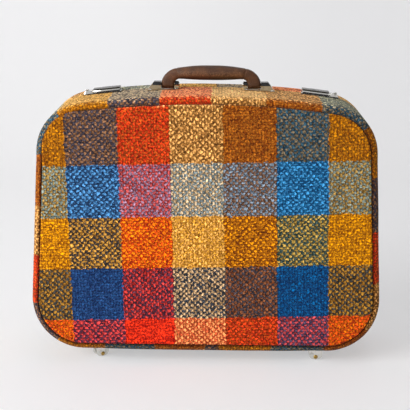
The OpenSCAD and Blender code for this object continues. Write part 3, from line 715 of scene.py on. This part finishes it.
def back_place(p):
    """The same on the lid's face, where the brown warp starts at the warp's edge."""
    warp_edge, weft_edge = -0.1480, 0.1210
    u, v = turned_place(-p[0], p[2] - CHECK_Z, -FRONT_TURN / 2)
    return u, v, (u - warp_edge) / STRIPE + BROWN_WARP, (weft_edge - v) / STRIPE


def dress(obj, body, material, slot, *nodes):
    obj.data.materials.clear()
    obj.data.materials.append(material)
    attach(obj, body)
    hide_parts(*nodes)
    return obj


for body, front, depth, bands_at in (("base", True, BASE_D, 0.0054), ("lid", False, LID_D, 0.1494)):
    strip, width = side_strip(body + "_side_cloth", front, depth, bands_at)
    dress(strip, body, check_cloth, "cloth", body + "_side_cover")
    panel = face_panel(body + "_face_cloth", front, front_place if front else back_place)
    dress(panel, body, check_cloth, "cloth", body + "_face_cover")

# Linings glued inside the trays
LINING_CLEAR, LINING_R, HOOP_CLEAR = 0.0004, 0.0032, 0.001
LINING_RIPPLE = (0.06, 0.0003)
WALL_STEPS, BEND_STEPS, FLOOR_RINGS = 10, 5, 16


def tray_lining(name, front, depth, start):
    """Lining from the start of the wall, in from the parting line, down and over the tray's floor."""
    floor_d = CLOTH_T + SHELL_T + LINING_CLEAR
    inset = -floor_d
    wall = depth - start - floor_d - LINING_R
    rows = [(inset, depth - (start + wall * i / WALL_STEPS)) for i in range(WALL_STEPS + 1)]
    for i in range(1, BEND_STEPS + 1):
        a = math.pi / 2 * i / BEND_STEPS
        rows.append((inset - LINING_R + LINING_R * math.cos(a), floor_d + LINING_R - LINING_R * math.sin(a)))
    run = run_along(rows)
    points = []
    for n, d in rows:
        for p, out in RIM[:-1]:
            q = p + n * out
            points.append((q.x, face_y(front, d), q.y + GROUND))
    floor_rim = points[-AROUND:]
    inward = 1 if front else -1
    for k in range(1, FLOOR_RINGS):
        for x, y, z in floor_rim:
            q = MIDDLE.lerp(Vector((x, z)), 1 - k / FLOOR_RINGS)
            points.append((q.x, y + inward * abs(ripple(q.x, 0.4, q.y, *LINING_RIPPLE)), q.y))
    points.append((0, floor_rim[0][1], MIDDLE.y))
    all_rows = len(rows) + FLOOR_RINGS - 1
    quads = quads_between(all_rows, front)
    faces = [numbered(quad) for quad in quads]
    wall_faces = (len(rows) - 1) * AROUND
    faces += fan(all_rows, len(points) - 1, front)
    threads = [[(ALONG[c], run[r]) for r, c in quad] for quad in quads[:wall_faces]]
    threads += [[(points[i][0], points[i][2]) for i in face] for face in faces[wall_faces:]]
    return sheet_mesh(name, points, faces, {"threads": threads})


LINING_STARTS = (("base", True, BASE_D, HOOP_IN), ("lid", False, LID_D, HOOP_OUT + HOOP_CLEAR))
for body, front, depth, start in LINING_STARTS:
    lining = tray_lining(body + "_lining_cloth", front, depth, start)
    dress(lining, body, lining_cotton, "lining", body + "_lining")

# Rigid pieces: copies of the solids with their edges eased by these widths
RIVET_EDGE, PIN_EDGE, PLATE_EDGE, PRESSED_EDGE, PLY_EDGE = 0.00012, 0.0002, 0.00025, 0.0003, 0.0004
SAME_POINT, FLAT_ANGLE = 2e-6, math.radians(0.6)
SHARP_ANGLE, SMOOTH_ANGLE = math.radians(28), math.radians(40)
LOCK_DARK, HASP_FOOT, HASP_TOP = 0.0018, 0.0014, 0.0020
FACES_FRONT, FACES_UP = -0.6, 0.3


def eased(node, width, materials):
    """Copy of a solid with its sharp edges broken; the broken edges take the last material."""
    source = frame["nodes"][node]
    body = source["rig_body"]
    obj = bpy.data.objects.new(node + "_finished", source.data.copy())
    bpy.context.scene.collection.objects.link(obj)
    obj.data.materials.clear()
    for m in materials:
        obj.data.materials.append(m)
    pick(obj)
    mode("EDIT")
    bpy.ops.mesh.select_mode(type="EDGE")
    bpy.ops.mesh.select_all(action="SELECT")
    bpy.ops.mesh.remove_doubles(threshold=SAME_POINT)
    bpy.ops.mesh.dissolve_limited(angle_limit=FLAT_ANGLE)
    bpy.ops.mesh.select_all(action="DESELECT")
    bpy.ops.mesh.edges_select_sharp(sharpness=SHARP_ANGLE)
    bpy.ops.mesh.bevel(offset=width, segments=2, affect="EDGES", clamp_overlap=True,
                       material=len(materials) - 1 if len(materials) > 1 else -1)
    bpy.ops.mesh.select_all(action="DESELECT")
    mode("OBJECT")
    bpy.ops.object.shade_smooth_by_angle(angle=SMOOTH_ANGLE)
    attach(obj, body)
    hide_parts(node)
    return obj


def repaint(obj, index, test):
    """Faces that the test picks take another of the piece's materials."""
    for face in obj.data.polygons:
        if test(face.center, face.normal):
            face.material_index = index


def stands(obj):
    """Which way a piece on the crowned top stands, and how high its lowest and highest points are."""
    points = [v.co for v in obj.data.vertices]
    x = sum(p.x for p in points) / len(points)
    way = Vector((x, 0, math.sqrt(CROWN_R ** 2 - x * x))).normalized()
    heights = [p.dot(way) for p in points]
    return way, min(heights), max(heights)


def cut_across(obj, way, height):
    """Edges cut into a piece at a height, so that a change of finish has a clean line."""
    pick(obj)
    mode("EDIT")
    bpy.ops.mesh.select_all(action="SELECT")
    bpy.ops.mesh.bisect(plane_co=way * height, plane_no=way)
    bpy.ops.mesh.select_all(action="DESELECT")
    mode("OBJECT")


def finished_lock(side):
    """Lock plate, enamelled low on its front as a painted shadow line."""
    lock = eased("lock_plate_" + side, PLATE_EDGE, [nickel])
    lock.data.materials.append(enamel_and_shade)
    way, low, _ = stands(lock)
    repaint(lock, 1, lambda centre, normal: normal.y < FACES_FRONT and centre.dot(way) < low + LOCK_DARK)
    return lock


def finished_hasp(side):
    """Hasp with a painted dark reflection on its top, bright sides and an enamelled foot as a painted shadow
    line.
    """
    hasp = eased("hasp_" + side, PRESSED_EDGE, [nickel])
    hasp.data.materials.append(dark_reflection)
    hasp.data.materials.append(enamel_and_shade)
    way, low, high = stands(hasp)
    dark_below, dark_above = low + HASP_FOOT, high - HASP_TOP
    cut_across(hasp, way, dark_below)
    cut_across(hasp, way, dark_above)
    repaint(hasp, 1, lambda centre, normal: centre.dot(way) > dark_above)
    repaint(hasp, 2, lambda centre, normal: centre.dot(way) < dark_below)
    return hasp


def finished_bracket(side):
    """Handle bracket, enamelled above a bright foot; the bright metal along its eased edges is a painted
    highlight.
    """
    bracket = eased("handle_bracket_" + side, PRESSED_EDGE, [enamel_and_shade, chrome_and_highlight])
    cut_across(bracket, Vector((0, 0, 1)), BRACKET_CUT)
    repaint(bracket, 1, lambda centre, normal: centre.z < BRACKET_CUT)
    return bracket


def finished_fork(corner):
    """Castor fork with painted shade on top, where it reflects the dark case bottom above it."""
    fork = eased("castor_fork_" + corner, PRESSED_EDGE, [nickel])
    fork.data.materials.append(fork_top_shade)
    repaint(fork, 1, lambda centre, normal: normal.z > FACES_UP)
    return fork


for side in SIDES:
    for name in ("latch_slide_", "hasp_cheek_", "hasp_plate_"):
        eased(name + side, PLATE_EDGE, [nickel])
    eased("hasp_pin_" + side, PIN_EDGE, [nickel])
    finished_lock(side)
    finished_hasp(side)
    for name in ("hinge_base_leaf_", "hinge_lid_leaf_", "hinge_pin_"):
        eased(name + side, PIN_EDGE, [steel])
    eased("handle_pin_" + side, PIN_EDGE, [nickel])
    finished_bracket(side)
for corner in CORNERS:
    eased("castor_plate_" + corner, PIN_EDGE, [nickel])
    eased("castor_kingpin_" + corner, PIN_EDGE, [steel])
    finished_fork(corner)
    eased("castor_wheel_" + corner, PIN_EDGE, [steel])
    eased("castor_axle_" + corner, PIN_EDGE, [brass])
for name in ("handle_rivets", "lock_rivets", "hasp_plate_rivets", "base_bottom_rivets", "lid_bottom_rivets"):
    eased(name, RIVET_EDGE, [nickel])

# Leather handle: along its course in millimetres, out, height, half thickness, half depth, squareness
HALF_HANDLE = [(0, 21.6, 10.1, 10.1, 2.0), (14, 21.55, 9.95, 9.95, 2.0), (28, 21.3, 9.2, 9.2, 2.0),
               (40, 20.9, 8.0, 8.0, 2.1), (47, 20.0, 7.7, 6.3, 2.6), (52.8, 17.4, 8.0, 5.7, 3.2),
               (57.0, 13.0, 8.6, 5.5, 3.8), (59.2, 8.6, 9.0, 5.5, 4.4), (59.5, 5.9, 9.0, 5.5, 4.6)]
STRAP_END = (4.6, 3.4, 2.4, 1.6, 1.0, 0.65, 0.45)
TAPER_FROM, TAPER, LEAST_SQUARE = 1.4, 0.5, 0.3
COURSE_STEPS, HANDLE_AROUND = 10, 40
GROOVE, GROOVE_AT, GROOVE_W = 0.45, 46.2, 0.9
MM = 1000


def smooth_course(rows, count):
    """Even course through rows of values, rounded at each row."""
    rows = [Vector(r) for r in rows]
    rows = [2 * rows[0] - rows[1]] + rows + [2 * rows[-1] - rows[-2]]
    out = []
    for i in range(1, len(rows) - 2):
        p0, p1, p2, p3 = rows[i - 1:i + 3]
        for k in range(count):
            f = k / count
            out.append(0.5 * (2 * p1 + (p2 - p0) * f + (2 * p0 - 5 * p1 + 4 * p2 - p3) * f * f
                              + (3 * p1 - p0 - 3 * p2 + p3) * f ** 3))
    return out + [rows[-2]]


def handle_rows():
    """Sections of the handle from one strap's rounded end to the other's."""
    rows = [tuple(v) for v in smooth_course(HALF_HANDLE, COURSE_STEPS)]
    end_x, end_h, end_thick, end_deep, end_square = HALF_HANDLE[-1]
    for h in STRAP_END:
        thick = end_thick - max(0.0, TAPER_FROM - h) * TAPER
        deep = math.sqrt(max(LEAST_SQUARE, end_deep ** 2 - (end_h - h) ** 2))
        rows.append((end_x, h, thick, deep, end_square))
    return [(-r[0],) + r[1:] for r in rows[:0:-1]] + rows


def leather_handle():
    """Grip and its flat elbows in one skin of leather: a padded bar that bends down into two straps."""
    middle = Vector((HANDLE_X, HANDLE_Y, TOP_Z))
    rows, around = handle_rows(), HANDLE_AROUND
    points, faces = [], []
    for i, (x, h, thick, deep, square) in enumerate(rows):
        before, after = rows[max(i - 1, 0)], rows[min(i + 1, len(rows) - 1)]
        run = Vector((after[0] - before[0], after[1] - before[1])).normalized()
        outward = Vector((-run.y, run.x))
        # The strap's end shows as a shallow groove round the bar
        groove = GROOVE * math.exp(-((abs(x) - GROOVE_AT) / GROOVE_W) ** 2)
        for k in range(around):
            w = 2 * math.pi * k / around
            c, s = math.cos(w), math.sin(w)
            r = (abs(c) ** square + abs(s) ** square) ** (-1 / square)
            q = Vector((x, h)) + outward * (thick - groove) * r * c
            y = (deep - groove) * r * s
            points.append((middle.x + q.x / MM, middle.y + y / MM, middle.z + q.y / MM))
    for i in range(len(rows) - 1):
        for k in range(around):
            n = (k + 1) % around
            faces.append([i * around + k, i * around + n, (i + 1) * around + n, (i + 1) * around + k])
    faces.append(list(range(around))[::-1])
    faces.append([(len(rows) - 1) * around + k for k in range(around)])
    obj = sheet_mesh("leather_handle", points, faces, {})
    mode("EDIT")
    bpy.ops.mesh.select_all(action="SELECT")
    bpy.ops.mesh.normals_make_consistent(inside=False)
    mode("OBJECT")
    return dress(obj, "handle", leather, "grip", "handle_grip", "handle_end_left", "handle_end_right")


leather_handle()
eased("closing_hoop", PLY_EDGE, [ply])
for node in ("base_shell", "lid_shell"):
    solid = frame["nodes"][node]
    solid.data.materials.clear()
    solid.data.materials.append(board)

# Studio: pale paper floor that turns up into a backdrop
FLOOR_W, FLOOR_L, FLOOR_Y, BACKDROP_H = 9, 6, -0.6, 3.5
SWEEP_R, SWEEP_FACES = 1.3, 24
PAPER_GLOW, PAPER_LIT, LID_REACH = 0.5, 0.56, 0.8


def backdrop_paper():
    paper = Finish("backdrop_paper")
    spot = paper.spot()
    rays = paper.add("LightPath").outputs
    glossy = paper.plus(rays["Is Camera Ray"], rays["Is Glossy Ray"])
    seen = paper.calc("ADD", glossy, rays["Is Transmission Ray"], clamp=True)
    tooth = paper.spread(paper.speckle(spot, 260, 3.0), 0.3, 0.7)
    plain = paper.blend(tooth, tone("D2D1D0"), tone("CFCECD"))
    # Painted light falloff: the paper is lighter on the left and darker on the right, where less light falls
    painted_light_falloff = paper.blend(paper.spread(paper.split(spot)[0], -0.5, 0.5), tone("FAFAFC"), tone("EEEEF0"))
    paper.give("Base Color", paper.blend(seen, plain, paper.scaled(painted_light_falloff, PAPER_LIT)))
    paper.give("Emission Color", painted_light_falloff)
    paper.give("Emission Strength", paper.times(seen, PAPER_GLOW))
    paper.give("Roughness", 0.9)
    paper.give("Specular IOR Level", 0.1)
    # The lid opens past the floor when the case stands, so the paper clears over anything below it
    below = paper.add("AmbientOcclusion", inside=True, samples=16)
    paper.feed(below.inputs["Distance"], LID_REACH)
    paper.feed(below.inputs["Normal"], paper.add("NewGeometry").outputs["True Normal"])
    paper.give("Alpha", paper.spread(below.outputs["AO"], 0.92, 0.98))
    return paper.material


def studio_floor():
    put_down()
    bpy.ops.mesh.primitive_plane_add(size=1, location=(0, 0, 0))
    floor = bpy.context.object
    floor.name = "studio_floor"
    mode("EDIT")
    bpy.ops.mesh.select_all(action="SELECT")
    bpy.ops.transform.resize(value=(FLOOR_W, FLOOR_L, 1))
    bpy.ops.transform.translate(value=(0, FLOOR_Y, 0))
    mode("OBJECT")
    mesh = floor.data
    for v in mesh.vertices:
        v.select = v.co.y > 0
    for e in mesh.edges:
        e.select = all(mesh.vertices[i].co.y > 0 for i in e.vertices)
    mode("EDIT")
    bpy.ops.mesh.select_mode(type="EDGE")
    bpy.ops.mesh.extrude_region_move(TRANSFORM_OT_translate={"value": (0, 0, BACKDROP_H)})
    mode("OBJECT")
    for e in mesh.edges:
        ends = [mesh.vertices[i].co for i in e.vertices]
        e.select = all(co.y > 0 and co.z < BACKDROP_H / 2 for co in ends)
    mode("EDIT")
    bpy.ops.mesh.bevel(offset=SWEEP_R, segments=SWEEP_FACES, affect="EDGES")
    bpy.ops.mesh.select_all(action="DESELECT")
    mode("OBJECT")
    bpy.ops.object.shade_smooth()
    mesh.materials.append(backdrop_paper())
    return floor


floor = studio_floor()


# Light
def soft_lamp(name, place, aim, size, watts):
    put_down()
    bpy.ops.object.light_add(type="AREA", location=place)
    lamp = bpy.context.object
    lamp.name = name
    lamp.data.shape = "RECTANGLE"
    lamp.data.size, lamp.data.size_y = size
    lamp.data.energy = watts
    lamp.rotation_euler = (Vector(aim) - Vector(place)).to_track_quat("-Z", "Y").to_euler()


CASE_MIDDLE = (0, 0, 0.2)
KEY_WATTS, FILL_WATTS, AIR_STRENGTH = 107, 7, 0.88
soft_lamp("window_key", (-2.1, -1.7, 1.25), CASE_MIDDLE, (2.2, 1.7), KEY_WATTS)
soft_lamp("top_fill", (0.2, 0.1, 2.2), CASE_MIDDLE, (1.8, 1.4), FILL_WATTS)
world = bpy.data.worlds.new("studio_air")
bpy.context.scene.world = world
world.use_nodes = True
air = world.node_tree.nodes["Background"]
air.inputs["Color"].default_value = (1, 1, 1, 1)
air.inputs["Strength"].default_value = AIR_STRENGTH

# Camera as in the photograph, a little above and in front
PHOTO_PX, SENSOR_MM = 410, 36
pitch, yaw, roll = math.radians(13.56), math.radians(0.636), math.radians(0.456)
focal_px, offset_px, distance = 1103.0, 4.12, 1.480
aim = Vector((0.00393, PART_Y - BASE_D, 0.22767))
ahead = Vector((-math.sin(yaw) * math.cos(pitch), math.cos(yaw) * math.cos(pitch), -math.sin(pitch)))
up = Vector((-math.sin(yaw) * math.sin(pitch), math.cos(yaw) * math.sin(pitch), math.cos(pitch)))
right = Vector((math.cos(yaw), math.sin(yaw), 0))
right = math.cos(roll) * right + math.sin(roll) * up
place = aim - distance * ahead
# The photograph's middle lies beside the line of sight, so the camera turns by that offset
ahead = (focal_px * ahead - offset_px * right).normalized()
right = (right - right.dot(ahead) * ahead).normalized()
up = right.cross(ahead)
put_down()
bpy.ops.object.camera_add(location=place)
camera = bpy.context.object
camera.data.sensor_width = SENSOR_MM
camera.data.lens = SENSOR_MM * focal_px / PHOTO_PX
camera.matrix_world = Matrix.Translation(place) @ Matrix((right, up, -ahead)).transposed().to_4x4()
bpy.context.scene.camera = camera
bpy.context.scene.view_settings.view_transform = "Standard"

put_down()
